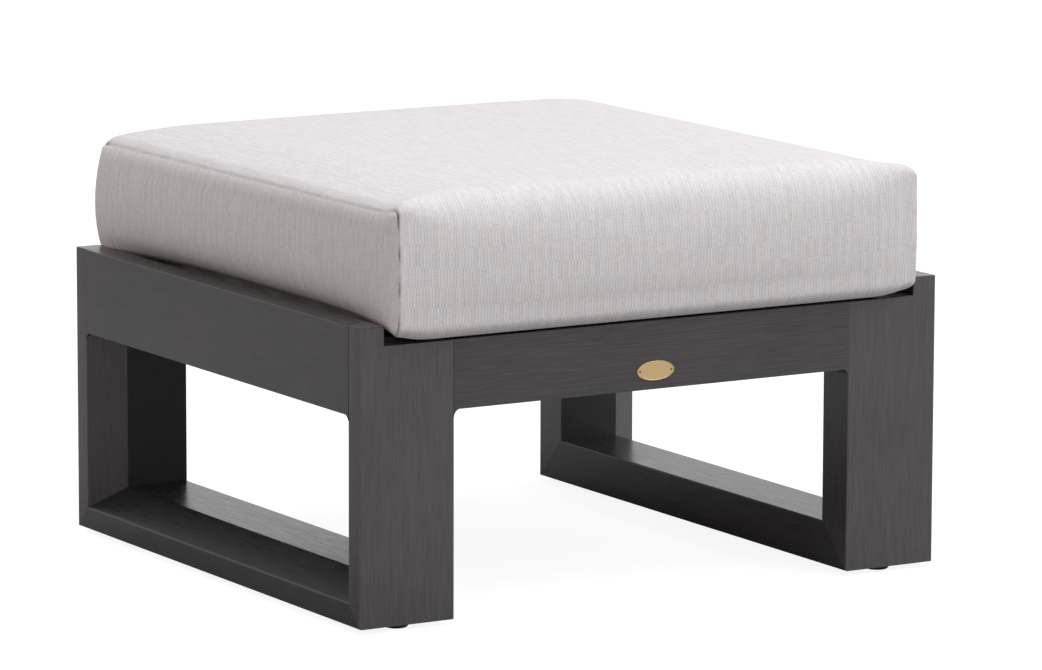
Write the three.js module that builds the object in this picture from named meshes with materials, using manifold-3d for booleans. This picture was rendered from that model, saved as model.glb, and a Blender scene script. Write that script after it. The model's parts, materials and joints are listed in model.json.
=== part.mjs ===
// Outdoor ottoman: a welded frame of hollow aluminium bars, with a loose box cushion on seat slats.
// Millimetres, +Z up, front towards -Y, the floor at z = 0. The origin is on the floor,
// under the middle of the whole stool with its cushion.
import * as THREE from 'three';
import { mergeVertices } from 'three/addons/utils/BufferGeometryUtils.js';
import Module from 'manifold-3d';

const wasm = await Module();
wasm.setup();

// Frame, overall
const frameWidth = 711;
const frameDepth = 640;
const sideRailTop = 320;
const floorClearance = 6;
const cushionStep = 20; // the side rails stand this far above the aprons

// Bevelled bar of the posts and bottom rails: thin at the outer face, thick inside
const barWidth = 112;
const barThickness = 48;
const barEdge = 24;
const barBevel = 38;
const barWall = 3;
const barCornerRadius = 1.5;
const barBevelRadius = 3;

// Flat bars on edge
const sideRailHeight = 93;
const sideRailThickness = 29;
const apronThickness = 29;
const flatBarWall = 3;
const flatBarRadius = 1.5;
const cornerFillet = 9; // weld ground smooth where a flat bar meets a post

// Fits
const weldGap = 0.3;
const restGap = 0.3;
const cutOverrun = 2;

// Seat deck
const slatCount = 6;
const slatWidth = 60;
const slatHeight = 20;
const slatWall = 2;
const slatRadius = 2;
const slatEndGap = 1;
const ledgeWidth = 25;
const ledgeDrop = 25;
const ledgeThickness = 3;
const screwDiameter = 4;
const screwLength = 14;
const screwHeadDiameter = 8;
const screwHeadHeight = 2.6;
const screwPointLength = 3;

// Glides
const glideDiameter = 26;
const glideRimRadius = 1.5;
const glideHeight = 5.6;
const studDiameter = 8;
const studLength = 24;
const studFlangeDiameter = 17;
const studFlangeHeight = 2;
const studFlangeDepth = 1.4; // cover of the pad over the flange
const nutWidth = 13;
const nutHeight = 6.5;
const threadGap = 0.3;

// Oval plate
const plateWidth = 46;
const plateHeight = 21;
const plateThickness = 1.2;
const plateRim = 0.4;
const plateRise = 19.5; // middle of the plate above the apron's underside
const plateGap = 0.3;
const pinEdgeDistance = 3.75; // from the plate's end to the middle of each pin
const pinDiameter = 1.8;
const pinHeadDiameter = 2.8;
const pinHeadHeight = 0.7;
const pinLength = 6;

// Cushion
const cushionSideGap = 6.5; // between each side seam and the side rail's inner face
const cushionFrontOverhang = 15; // of the seam, past the apron's face
const cushionBackOverhang = 2;
const seamHeight = 136;
const cushionRise = 10; // gained by the wrap panel within a short way of each side seam
const cushionRiseWidth = 70;
const cushionCrown = 5; // further rise, to the middle of the top
const frontBulge = 5;
const sideBulge = 9;
const seamDrawIn = 3;
const wrapTopRadius = 30;
const wrapBaseRadius = 26;
const seamTopRadius = 18;
const fabricThickness = 1.5;
const foamGap = 2.3;

// Zip in the back of the cushion
const zipHeight = 62; // above the cushion's underside
const zipEndDistance = 70; // from each end of the slot to the side seam
const zipSlotHeight = 10;
const zipTapeHeight = 24;
const zipTapeThickness = 0.8;
const zipTapeLap = 3;
const zipTapeDip = 0.9; // the tape is straight, and lies this far inside the wrap panel's bulge
const coilWidth = 5;
const coilHeight = 2;
const sliderLength = 14;
const sliderWidth = 9;
const sliderPlate = 1.4;
const sliderFlange = 1.1;
const bailLength = 8;
const bailBar = 1.2;
const pullLength = 24;
const pullWidth = 6.5;
const pullThickness = 1;
const pullTaper = 1; // the pull is this much narrower at each side of its eye
const pullEyeBore = 2.6;
const pullEyeWall = 0.8;
const pullGap = 0.3;

// Facets
const cornerSteps = 2;
const filletSteps = 5;
const roundSides = 16;
const smallRoundSides = 10;
const plateSides = 36;
const ringCornerSteps = 4;
const ringTopSteps = 8;
const ringSideSteps = 4;
const stationShares = [-1, -0.965, -0.92, -0.86, -0.78, -0.5, -0.2, 0.2, 0.5, 0.78, 0.86, 0.92, 0.965, 1];
const panelShares = [1, 0.93, 0.8, 0.55, 0.25];

// Heights and half sizes that several pieces share
const halfWidth = frameWidth / 2;
const halfDepth = frameDepth / 2;
const frameBase = floorClearance;
const openingTop = sideRailTop - sideRailHeight;
const apronTop = sideRailTop - cushionStep;
const slatTop = apronTop;
const slatBase = slatTop - slatHeight;
const postInside = halfWidth - barWidth;
const railInside = halfWidth - sideRailThickness;
const deckDepth = frameDepth - 2 * barThickness;
const glideX = halfWidth - barWidth / 2;
const glideY = halfDepth - barThickness / 2;
const cushionWidth = 2 * (railInside - cushionSideGap);
const cushionDepth = frameDepth + cushionFrontOverhang + cushionBackOverhang;
const cushionForward = (cushionFrontOverhang - cushionBackOverhang) / 2;
const pinReach = plateWidth / 2 - pinEdgeDistance;
const zipReach = cushionWidth / 2 - zipEndDistance;

const finishes = {
  frame: new THREE.MeshStandardMaterial({ color: '#4c4949', roughness: 0.45, metalness: 0.8 }),
  deck: new THREE.MeshStandardMaterial({ color: '#434141', roughness: 0.5, metalness: 0.6 }),
  nylon: new THREE.MeshStandardMaterial({ color: '#19191a', roughness: 0.6, metalness: 0 }),
  steel: new THREE.MeshStandardMaterial({ color: '#b4b6b8', roughness: 0.35, metalness: 1 }),
  brass: new THREE.MeshStandardMaterial({ color: '#b9a06f', roughness: 0.35, metalness: 1 }),
  fabric: new THREE.MeshStandardMaterial({ color: '#d3cdc8', roughness: 0.95, metalness: 0 }),
  foam: new THREE.MeshStandardMaterial({ color: '#efe9dc', roughness: 1, metalness: 0 }),
  zip: new THREE.MeshStandardMaterial({ color: '#b9b3ad', roughness: 0.7, metalness: 0 }),
};

// A geometry with its shared points merged, no empty triangle, and its faces pointing out.
function closed(geometry) {
  const bare = new THREE.BufferGeometry();
  bare.setAttribute('position', geometry.getAttribute('position').clone());
  if (geometry.index) bare.setIndex(geometry.index.clone());
  const merged = mergeVertices(bare);
  const at = merged.getAttribute('position');
  const index = merged.index.array;
  const corner = (i) => new THREE.Vector3().fromBufferAttribute(at, i);
  const kept = [];
  let volume = 0;
  for (let i = 0; i < index.length; i += 3) {
    const [a, b, c] = [index[i], index[i + 1], index[i + 2]];
    if (a === b || b === c || c === a) continue;
    kept.push([a, b, c]);
    volume += corner(a).dot(corner(b).cross(corner(c)));
  }
  merged.setIndex(kept.flatMap(([a, b, c]) => (volume < 0 ? [a, c, b] : [a, b, c])));
  return merged;
}

function solid(geometry) {
  const whole = closed(geometry);
  return new wasm.Manifold(new wasm.Mesh({
    numProp: 3,
    vertProperties: new Float32Array(whole.getAttribute('position').array),
    triVerts: new Uint32Array(whole.index.array),
  }));
}

function geometryOf(body) {
  const { vertProperties, triVerts } = body.getMesh();
  const geometry = new THREE.BufferGeometry();
  geometry.setAttribute('position', new THREE.BufferAttribute(new Float32Array(vertProperties), 3));
  geometry.setIndex(new THREE.BufferAttribute(new Uint32Array(triVerts), 1));
  return geometry;
}

// Turns each corner [u, v, radius] of an outline into an arc, where it has a radius.
function rounded(corners, steps = cornerSteps) {
  return corners.flatMap(([u, v, radius = 0], i) => {
    const here = new THREE.Vector2(u, v);
    if (radius === 0) return [here];
    const toward = ([x, y]) => new THREE.Vector2(x, y).sub(here).normalize();
    const before = toward(corners.at(i - 1));
    const after = toward(corners[(i + 1) % corners.length]);
    const halfAngle = Math.acos(before.dot(after)) / 2;
    const centre = before.clone().add(after).setLength(radius / Math.sin(halfAngle)).add(here);
    const reach = radius / Math.tan(halfAngle);
    const first = before.multiplyScalar(reach).add(here).sub(centre).angle();
    const last = after.multiplyScalar(reach).add(here).sub(centre).angle();
    let sweep = last - first;
    if (sweep > Math.PI) sweep -= 2 * Math.PI;
    if (sweep < -Math.PI) sweep += 2 * Math.PI;
    return Array.from({ length: steps + 1 }, (_, k) => {
      const angle = first + (sweep * k) / steps;
      return new THREE.Vector2(Math.cos(angle), Math.sin(angle)).multiplyScalar(radius).add(centre);
    });
  });
}

const along = {
  x: new THREE.Matrix4().makeBasis(
    new THREE.Vector3(0, 1, 0), new THREE.Vector3(0, 0, 1), new THREE.Vector3(1, 0, 0)),
  y: new THREE.Matrix4().makeBasis(
    new THREE.Vector3(1, 0, 0), new THREE.Vector3(0, 0, 1), new THREE.Vector3(0, -1, 0)),
  z: new THREE.Matrix4(),
};

// Extrudes an outline along an axis, between two places on it. The outline lies in the other two
// axes, taken in the order x, y, z.
function extruded(points, axis, from, to, holes = []) {
  const shape = new THREE.Shape(points);
  shape.holes = holes.map((hole) => new THREE.Path(hole));
  const geometry = new THREE.ExtrudeGeometry(shape, { depth: to - from, bevelEnabled: false });
  geometry.applyMatrix4(along[axis]);
  if (axis === 'x') geometry.translate(from, 0, 0);
  if (axis === 'y') geometry.translate(0, to, 0);
  if (axis === 'z') geometry.translate(0, 0, from);
  return geometry;
}

function prism(corners, axis, from, to, steps) {
  return solid(extruded(rounded(corners, steps), axis, from, to));
}

function box(x0, x1, y0, y1, z0, z1) {
  return prism([[x0, y0], [x1, y0], [x1, y1], [x0, y1]], 'z', z0, z1);
}

// A round piece turned about +Z from [radius, height] points.
function turned(profile, sides = roundSides) {
  const points = profile.map(([radius, height]) => new THREE.Vector2(radius, height));
  const geometry = new THREE.LatheGeometry(points, sides);
  geometry.rotateX(Math.PI / 2);
  return geometry;
}

function rod(diameter, z0, z1, sides = roundSides) {
  return turned([[0, z0], [diameter / 2, z0], [diameter / 2, z1], [0, z1]], sides);
}

function mirrored(geometry, sx, sy) {
  const copy = geometry.clone().scale(sx, sy, 1);
  return closed(copy);
}

function named(name, geometry, finish) {
  const mesh = new THREE.Mesh(closed(geometry), finish);
  mesh.geometry.computeVertexNormals();
  mesh.name = name;
  return mesh;
}

// Section of the bevelled bar, from its outer face (u = 0) and its flat side (v = 0).
function barSection(placed) {
  return [
    [0, 0, barCornerRadius],
    [barWidth, 0, barCornerRadius],
    [barWidth, barThickness, barCornerRadius],
    [barBevel, barThickness, barBevelRadius],
    [0, barEdge, barBevelRadius],
  ].map(([u, v, radius]) => [...placed(u, v), radius]);
}

// The hollow of the bar: its section moved in by the wall, with the bevel kept parallel.
function barHollow(placed) {
  const bevelRise = barThickness - barEdge;
  const bevelLength = Math.hypot(barBevel, bevelRise);
  return [
    [barWall, barWall],
    [barWidth - barWall, barWall],
    [barWidth - barWall, barThickness - barWall],
    [barBevel + (barWall * (bevelLength - barBevel)) / bevelRise, barThickness - barWall],
    [barWall, barEdge - (barWall * (bevelLength - bevelRise)) / barBevel],
  ].map(([u, v]) => placed(u, v));
}

// The half space past a mitre at the front lower corner, seen from the side. The post lies above the
// mitre and the bottom rail below it, each held back by half of the weld's gap.
function mitreCut(side) {
  const back = (weldGap * Math.SQRT1_2) * side;
  const reach = barThickness + cutOverrun;
  const low = [-halfDepth - cutOverrun, frameBase - cutOverrun + back];
  const high = [-halfDepth + reach, frameBase + reach + back];
  const away = side > 0 ? [high[0], low[1]] : [low[0], high[1]];
  return prism([low, high, away], 'x', -halfWidth - cutOverrun, -postInside + cutOverrun);
}

function leftFrontPost() {
  const inPlan = (u, v) => [-halfWidth + u, -halfDepth + v];
  const hollowTop = apronTop - barWall;
  return geometryOf(
    prism(barSection(inPlan), 'z', frameBase, sideRailTop)
      .subtract(prism(barHollow(inPlan), 'z', frameBase - cutOverrun, hollowTop))
      .subtract(mitreCut(1))
      .subtract(box(
        -railInside, -postInside + cutOverrun,
        -halfDepth - cutOverrun, -halfDepth + barThickness + cutOverrun,
        apronTop, sideRailTop + cutOverrun)),
  );
}

function leftBottomRail() {
  const upright = (u, v) => [-halfWidth + u, frameBase + v];
  const backMitre = solid(mirrored(geometryOf(mitreCut(-1)), 1, -1));
  let rail = prism(barSection(upright), 'y', -halfDepth, halfDepth)
    .subtract(prism(barHollow(upright), 'y', -halfDepth - cutOverrun, halfDepth + cutOverrun))
    .subtract(mitreCut(-1))
    .subtract(backMitre);
  for (const end of [-1, 1]) {
    const hole = rod(
      studDiameter + 2 * threadGap, frameBase - cutOverrun, frameBase + barWall + cutOverrun);
    rail = rail.subtract(solid(hole.translate(-glideX, end * glideY, 0)));
  }
  return geometryOf(rail);
}

// A flat bar seen from its broad side, with a fillet under each end where it meets a post.
function flatBarFace(reach, base, top) {
  return [
    [-reach, top],
    [-reach, base - cornerFillet],
    ...filletArc(-reach + cornerFillet, base - cornerFillet, Math.PI),
    ...filletArc(reach - cornerFillet, base - cornerFillet, Math.PI / 2),
    [reach, base - cornerFillet],
    [reach, top],
  ];
}

// The points of a quarter circle between a fillet's two ends, clockwise from the first angle.
function filletArc(centreU, centreV, startAngle) {
  return Array.from({ length: filletSteps - 1 }, (_, k) => {
    const angle = startAngle - ((k + 1) * Math.PI) / (2 * filletSteps);
    return [centreU + cornerFillet * Math.cos(angle), centreV + cornerFillet * Math.sin(angle)];
  });
}

function flatBarSection(from, to, base, top) {
  return [
    [from, base],
    [to, base],
    [to, top, flatBarRadius],
    [from, top, flatBarRadius],
  ];
}

// The side rail's ends are cut to lie along the posts' bevels.
function leftSideRail() {
  const bevelSlope = (barThickness - barEdge) / barBevel;
  const weldRun = weldGap * Math.hypot(1, bevelSlope);
  const outerReach = halfDepth - barEdge - weldRun;
  const innerReach = outerReach - sideRailThickness * bevelSlope;
  const lowest = openingTop - cornerFillet;
  const plan = [
    [-halfWidth, -outerReach],
    [-railInside, -innerReach],
    [-railInside, innerReach],
    [-halfWidth, outerReach],
  ];
  return geometryOf(
    prism(flatBarSection(-halfWidth, -railInside, lowest, sideRailTop), 'y', -outerReach, outerReach)
      .intersect(prism(
        flatBarFace(halfDepth - barEdge, openingTop, sideRailTop),
        'x', -halfWidth - cutOverrun, -railInside + cutOverrun))
      .intersect(prism(plan, 'z', lowest, sideRailTop))
      .subtract(box(
        -halfWidth + flatBarWall, -railInside - flatBarWall,
        -halfDepth, halfDepth,
        openingTop + flatBarWall, sideRailTop - flatBarWall)),
  );
}

function frontApron(withPinHoles) {
  const lowest = openingTop - cornerFillet;
  const back = -halfDepth + apronThickness;
  let apron = prism(flatBarSection(-halfDepth, back, lowest, apronTop), 'x', -postInside, postInside)
    .intersect(prism(
      flatBarFace(postInside, openingTop, apronTop),
      'y', -halfDepth - cutOverrun, back + cutOverrun))
    .subtract(box(
      -halfWidth, halfWidth,
      -halfDepth + flatBarWall, back - flatBarWall,
      openingTop + flatBarWall, apronTop - flatBarWall));
  for (const end of withPinHoles ? [-1, 1] : []) {
    const hole = rod(pinDiameter + 2 * plateGap, -cutOverrun, flatBarWall + cutOverrun, smallRoundSides);
    hole.rotateX(-Math.PI / 2);
    hole.translate(end * pinReach, -halfDepth, openingTop + plateRise);
    apron = apron.subtract(solid(hole));
  }
  return geometryOf(apron);
}

const slatPitch = deckDepth / slatCount;
const slatPlaces = Array.from({ length: slatCount }, (_, i) => (i + 0.5) * slatPitch - deckDepth / 2);
const screwX = railInside - ledgeWidth / 2;

function screwHole(x, y, z0, z1) {
  return solid(rod(screwDiameter + 2 * restGap, z0, z1, smallRoundSides).translate(x, y, 0));
}

function leftLedge() {
  const section = [
    [-railInside, slatBase - ledgeDrop],
    [-railInside + ledgeThickness, slatBase - ledgeDrop],
    [-railInside + ledgeThickness, slatBase - ledgeThickness],
    [-railInside + ledgeWidth, slatBase - ledgeThickness],
    [-railInside + ledgeWidth, slatBase],
    [-railInside, slatBase],
  ];
  const reach = deckDepth / 2 - weldGap;
  let ledge = prism(section, 'y', -reach, reach);
  for (const y of slatPlaces) {
    ledge = ledge.subtract(
      screwHole(-screwX, y, slatBase - ledgeThickness - cutOverrun, slatBase + cutOverrun));
  }
  return geometryOf(ledge);
}

function slat() {
  const reach = railInside - slatEndGap;
  const half = slatWidth / 2;
  const outside = [
    [-half, slatBase, slatRadius],
    [half, slatBase, slatRadius],
    [half, slatTop, slatRadius],
    [-half, slatTop, slatRadius],
  ];
  const inside = [
    [-half + slatWall, slatBase + slatWall],
    [half - slatWall, slatBase + slatWall],
    [half - slatWall, slatTop - slatWall],
    [-half + slatWall, slatTop - slatWall],
  ];
  let tube = prism(outside, 'x', -reach, reach)
    .subtract(prism(inside, 'x', -reach - cutOverrun, reach + cutOverrun));
  for (const end of [-1, 1]) {
    tube = tube.subtract(
      screwHole(end * screwX, 0, slatBase - cutOverrun, slatBase + slatWall + cutOverrun));
  }
  return geometryOf(tube);
}

// A pan head screw, head down, whose shank goes up through the ledge into the slat.
function slatScrew() {
  const seat = slatBase - ledgeThickness - restGap;
  const tip = seat + screwLength;
  const headRadius = screwHeadDiameter / 2;
  const shankRadius = screwDiameter / 2;
  const headFlatShare = 0.6;
  const tipShare = 0.25;
  return turned([
    [0, seat - screwHeadHeight],
    [headRadius * headFlatShare, seat - screwHeadHeight],
    [headRadius, seat - screwHeadHeight / 2],
    [headRadius, seat],
    [shankRadius, seat],
    [shankRadius, tip - screwPointLength],
    [shankRadius * tipShare, tip],
    [0, tip],
  ], smallRoundSides);
}

// Glide: a nylon pad moulded round the flange of a threaded stud, which screws into a welded nut.
const flangeBase = glideHeight - studFlangeDepth - studFlangeHeight;
const flangeTop = flangeBase + studFlangeHeight;

function glidePad() {
  const outer = glideDiameter / 2;
  const pocket = studFlangeDiameter / 2 + restGap;
  const neck = studDiameter / 2 + restGap;
  return turned([
    [0, 0],
    [outer - glideRimRadius, 0],
    [outer, glideRimRadius],
    [outer, glideHeight],
    [neck, glideHeight],
    [neck, flangeTop + restGap],
    [pocket, flangeTop + restGap],
    [pocket, flangeBase - restGap],
    [0, flangeBase - restGap],
  ]);
}

function glideStud() {
  const flange = studFlangeDiameter / 2;
  const shank = studDiameter / 2;
  const top = flangeBase + studLength;
  const chamfer = threadGap * 2;
  return turned([
    [0, flangeBase],
    [flange, flangeBase],
    [flange, flangeTop],
    [shank, flangeTop],
    [shank, top - chamfer],
    [shank - chamfer, top],
    [0, top],
  ]);
}

function glideNut() {
  const base = frameBase + barWall;
  const hexRadius = nutWidth / Math.sqrt(3);
  const circle = (radius, sides) => Array.from({ length: sides }, (_, k) => {
    const angle = (2 * Math.PI * k) / sides;
    return new THREE.Vector2(radius * Math.cos(angle), radius * Math.sin(angle));
  });
  const bore = circle(studDiameter / 2 + threadGap, roundSides);
  return extruded(circle(hexRadius, 6), 'z', base, base + nutHeight, [bore]);
}

function ovalPlate() {
  const outline = new THREE.Shape();
  outline.absellipse(0, 0, plateWidth / 2 - plateRim, plateHeight / 2 - plateRim, 0, 2 * Math.PI);
  const geometry = new THREE.ExtrudeGeometry(outline, {
    depth: plateThickness - plateRim,
    bevelThickness: plateRim,
    bevelSize: plateRim,
    bevelSegments: 1,
    curveSegments: plateSides / 2,
  });
  geometry.translate(0, 0, plateRim);
  let plate = solid(geometry).subtract(
    box(-plateWidth, plateWidth, -plateHeight, plateHeight, -plateThickness, plateRim));
  for (const end of [-1, 1]) {
    const hole = rod(
      pinDiameter + 2 * plateGap, -cutOverrun, plateThickness + plateRim + cutOverrun, smallRoundSides);
    plate = plate.subtract(solid(hole.translate(end * pinReach, 0, 0)));
  }
  return geometryOf(plate).translate(0, 0, -plateRim).rotateX(Math.PI / 2);
}

function platePin() {
  const head = pinHeadDiameter / 2;
  const shank = pinDiameter / 2;
  const crownShare = 0.5;
  return turned([
    [0, -pinLength],
    [shank, -pinLength],
    [shank, 0],
    [head, 0],
    [head * crownShare, pinHeadHeight],
    [0, pinHeadHeight],
  ], smallRoundSides).rotateX(Math.PI / 2);
}

// The cushion's outline at a station across it, as points [y, z] round from the lower front corner.
// share runs from -1 at the left seam to 1 at the right seam. inset moves the outline in, and
// baseInset moves up its flat underside.
function cushionRing(share, inset, baseInset) {
  const riseShare = cushionRiseWidth / (cushionWidth / 2);
  const fall = Math.max(0, (Math.abs(share) - (1 - riseShare)) / riseShare);
  const full = 1 - fall ** 2;
  const topRadius = seamTopRadius + (wrapTopRadius - seamTopRadius) * full - inset;
  const baseRadius = wrapBaseRadius - inset;
  const reach = cushionDepth / 2 - inset;
  const top = seamHeight + cushionRise * full - inset;
  const turns = [
    [baseRadius - reach, baseInset + baseRadius, baseRadius],
    [reach - baseRadius, baseInset + baseRadius, baseRadius],
    [reach - topRadius, top - topRadius, topRadius],
    [topRadius - reach, top - topRadius, topRadius],
  ];
  const runs = [1, ringSideSteps, ringTopSteps, ringSideSteps];
  const ring = turns.flatMap(([centreY, centreZ, radius], i) => {
    const at = (angle, [y, z, r]) => [y + r * Math.cos(angle), z + r * Math.sin(angle)];
    const start = Math.PI + (i * Math.PI) / 2;
    const quarter = Math.PI / 2;
    const turn = Array.from(
      { length: ringCornerSteps + 1 },
      (_, k) => at(start + (k * quarter) / ringCornerSteps, [centreY, centreZ, radius]));
    const [fromY, fromZ] = turn.at(-1);
    const [toY, toZ] = at(start + quarter, turns[(i + 1) % turns.length]);
    const run = Array.from({ length: runs[i] - 1 }, (_, k) => {
      const part = (k + 1) / runs[i];
      return [fromY + (toY - fromY) * part, fromZ + (toZ - fromZ) * part];
    });
    return [...turn, ...run];
  });
  return ring.map(([y, z]) => {
    const across = y / reach;
    const up = (z - baseInset) / (top - baseInset);
    const crown = cushionCrown * (1 - share ** 2) * (1 - across ** 2) * up ** 4;
    const bulge = frontBulge * full * (1 - (2 * up - 1) ** 2) * across ** 8;
    return [y + Math.sign(y) * bulge, z + crown];
  });
}

// Half the width between the side seams, which are drawn in between the corners.
function seamReach(y, inset) {
  const across = Math.min(1, Math.abs(y) / (cushionDepth / 2));
  return cushionWidth / 2 - seamDrawIn * (1 - across ** 2) - inset;
}

// A body skinned through rings of points, where capped ends run in to a middle point.
function skinned(rings, ends) {
  const count = rings[0].length;
  const points = [...rings.flat(), ...ends];
  const index = [];
  for (let i = 0; i + 1 < rings.length; i += 1) {
    for (let k = 0; k < count; k += 1) {
      const a = i * count + k;
      const b = i * count + ((k + 1) % count);
      index.push(a, b, b + count, a, b + count, a + count);
    }
  }
  ends.forEach((_, end) => {
    const tip = rings.length * count + end;
    const base = end === 0 ? 0 : (rings.length - 1) * count;
    for (let k = 0; k < count; k += 1) {
      const a = base + k;
      const b = base + ((k + 1) % count);
      index.push(...(end === 0 ? [b, a, tip] : [a, b, tip]));
    }
  });
  const geometry = new THREE.BufferGeometry();
  geometry.setAttribute('position', new THREE.Float32BufferAttribute(points.flat(), 3));
  geometry.setIndex(index);
  return geometry;
}

// A ring of the wrap or the foam at a station.
function stationRing(share, inset, baseInset, endInset) {
  return cushionRing(share, inset, baseInset)
    .map(([y, z]) => [share * seamReach(y, endInset), y, z]);
}

// How far a side panel stands out past its seams. It swells soon after the front and back seams.
function panelBulge(y, z) {
  const across = Math.min(1, Math.abs(y) / (cushionDepth / 2));
  const up = Math.min(1, Math.abs(2 * z / seamHeight - 1));
  return sideBulge * (1 - across ** 10) * (1 - up ** 2);
}

// Rings of a side panel's swollen face, from its seam in to its middle.
function panelRings(inset, baseInset, endInset) {
  const seam = cushionRing(1, inset, baseInset);
  const middle = seamHeight / 2;
  return panelShares.map((share) => seam.map(([y, z]) => {
    const inY = y * share;
    const inZ = middle + (z - middle) * share;
    return [seamReach(inY, endInset) + panelBulge(inY, inZ), inY, inZ];
  }));
}

function panelMiddle(endInset) {
  return [seamReach(0, endInset) + sideBulge, 0, seamHeight / 2];
}

// The wrap panel goes round the foam over the top, front, underside and back.
function wrapPanel() {
  const endInset = fabricThickness + restGap;
  const shell = (inset) => stationShares.map((share) => stationRing(share, inset, inset, endInset));
  const outer = shell(0);
  const inner = shell(fabricThickness).reverse();
  const loop = [...outer, ...inner, outer[0]];
  const slot = box(
    -zipReach, zipReach,
    cushionDepth / 2 - fabricThickness - cutOverrun, cushionDepth / 2 + frontBulge + cutOverrun,
    zipHeight - zipSlotHeight / 2, zipHeight + zipSlotHeight / 2);
  return geometryOf(solid(skinned(loop, [])).subtract(slot));
}

function rightPanel() {
  const outer = panelRings(0, 0, 0);
  const inner = panelRings(fabricThickness, fabricThickness, fabricThickness);
  const rings = [...inner.reverse(), ...outer];
  return skinned(rings, [panelMiddle(fabricThickness), panelMiddle(0)]);
}

function foamCore() {
  const inset = fabricThickness + foamGap;
  const baseInset = fabricThickness + restGap;
  const endInset = inset + restGap;
  const body = stationShares.map((share) => stationRing(share, inset, baseInset, endInset));
  const right = panelRings(inset, baseInset, endInset).slice(1);
  const left = right.map((ring) => ring.map(([x, y, z]) => [-x, y, z])).reverse();
  const [x, y, z] = panelMiddle(endInset);
  return skinned([...left, ...body, ...right], [[-x, y, z], [x, y, z]]);
}

// Places of the zip's pieces behind one another, measured from the cushion's middle to its back.
const tapeFace = cushionDepth / 2 + frontBulge - fabricThickness - zipTapeDip;
const coilTop = tapeFace + coilHeight;
const sliderBase = coilTop + restGap;
const sliderTop = sliderBase + sliderPlate;
const eyeRadius = pullEyeBore / 2 + pullEyeWall;
const bailAxis = sliderTop + pullGap + eyeRadius;
const sliderRest = zipReach - sliderLength;

function zipTape() {
  const reach = zipReach + zipTapeLap;
  const coilReach = zipReach - zipTapeLap;
  const chamfer = coilHeight / 2;
  const tape = box(
    -reach, reach, tapeFace - zipTapeThickness, tapeFace,
    zipHeight - zipTapeHeight / 2, zipHeight + zipTapeHeight / 2);
  const half = coilWidth / 2;
  const coil = prism([
    [tapeFace - zipTapeThickness / 2, zipHeight - half],
    [coilTop - chamfer, zipHeight - half],
    [coilTop, zipHeight - half + chamfer],
    [coilTop, zipHeight + half - chamfer],
    [coilTop - chamfer, zipHeight + half],
    [tapeFace - zipTapeThickness / 2, zipHeight + half],
  ], 'x', -coilReach, coilReach);
  return geometryOf(tape.add(coil));
}

// Slider: a plate over the coil with a flange down each side, and a bail for the pull.
function zipSlider() {
  const half = sliderWidth / 2;
  const foot = tapeFace + restGap;
  const channel = prism([
    [foot, zipHeight - half],
    [sliderTop, zipHeight - half],
    [sliderTop, zipHeight + half],
    [foot, zipHeight + half],
    [foot, zipHeight + half - sliderFlange],
    [sliderBase, zipHeight + half - sliderFlange],
    [sliderBase, zipHeight - half + sliderFlange],
    [foot, zipHeight - half + sliderFlange],
  ], 'x', sliderRest - sliderLength / 2, sliderRest + sliderLength / 2);
  const bailHalf = bailLength / 2;
  const bailTop = bailAxis + bailBar / 2;
  const seat = sliderTop - sliderPlate / 2;
  const arch = prism([
    [sliderRest - bailHalf, seat],
    [sliderRest - bailHalf + bailBar, seat],
    [sliderRest - bailHalf + bailBar, bailTop - bailBar],
    [sliderRest + bailHalf - bailBar, bailTop - bailBar],
    [sliderRest + bailHalf - bailBar, seat],
    [sliderRest + bailHalf, seat],
    [sliderRest + bailHalf, bailTop, bailBar / 2],
    [sliderRest - bailHalf, bailTop, bailBar / 2],
  ], 'z', zipHeight - bailBar / 2, zipHeight + bailBar / 2);
  return geometryOf(channel.add(arch));
}

// Pull: a tab that hangs down, whose eye is rolled round the bar of the bail. It is centred on
// the bar.
function zipPull() {
  const eyeHalf = bailLength / 2 - bailBar - pullGap;
  const eye = rod(2 * eyeRadius, -eyeHalf, eyeHalf, smallRoundSides).rotateY(Math.PI / 2);
  const bore = rod(pullEyeBore, -pullWidth, pullWidth, smallRoundSides).rotateY(Math.PI / 2);
  const half = pullWidth / 2;
  const tab = prism([
    [-half, -pullLength, pullTaper],
    [half, -pullLength, pullTaper],
    [half - pullTaper, 0],
    [pullTaper - half, 0],
  ], 'y', -pullThickness / 2, pullThickness / 2);
  return geometryOf(solid(eye).add(tab).subtract(solid(bore)));
}

const stool = new THREE.Group();
const add = (name, geometry, finish, x = 0, y = 0, z = 0) => {
  const mesh = named(name, geometry, finish);
  mesh.position.set(x, y, z);
  stool.add(mesh);
  return mesh;
};

const sides = [['left', 1], ['right', -1]];
const ends = [['front', 1], ['back', -1]];

const post = leftFrontPost();
const bottomRail = leftBottomRail();
const sideRail = leftSideRail();
const ledge = leftLedge();
for (const [side, sx] of sides) {
  for (const [end, sy] of ends) {
    add(`${side}_${end}_post`, mirrored(post, sx, sy), finishes.frame);
    const [x, y] = [-sx * glideX, -sy * glideY];
    add(`glide_nut_${end}_${side}`, glideNut(), finishes.steel, x, y);
    add(`glide_stud_${end}_${side}`, glideStud(), finishes.steel, x, y);
    add(`glide_pad_${end}_${side}`, glidePad(), finishes.nylon, x, y);
  }
  add(`${side}_bottom_rail`, mirrored(bottomRail, sx, 1), finishes.frame);
  add(`${side}_side_rail`, mirrored(sideRail, sx, 1), finishes.frame);
  add(`${side}_slat_ledge`, mirrored(ledge, sx, 1), finishes.deck);
  slatPlaces.forEach((y, i) => {
    add(`slat_screw_${side}_${i + 1}`, slatScrew(), finishes.steel, -sx * screwX, y);
  });
}
add('front_apron', frontApron(true), finishes.frame);
add('back_apron', mirrored(frontApron(false), 1, -1), finishes.frame);
const slatTube = slat();
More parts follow.
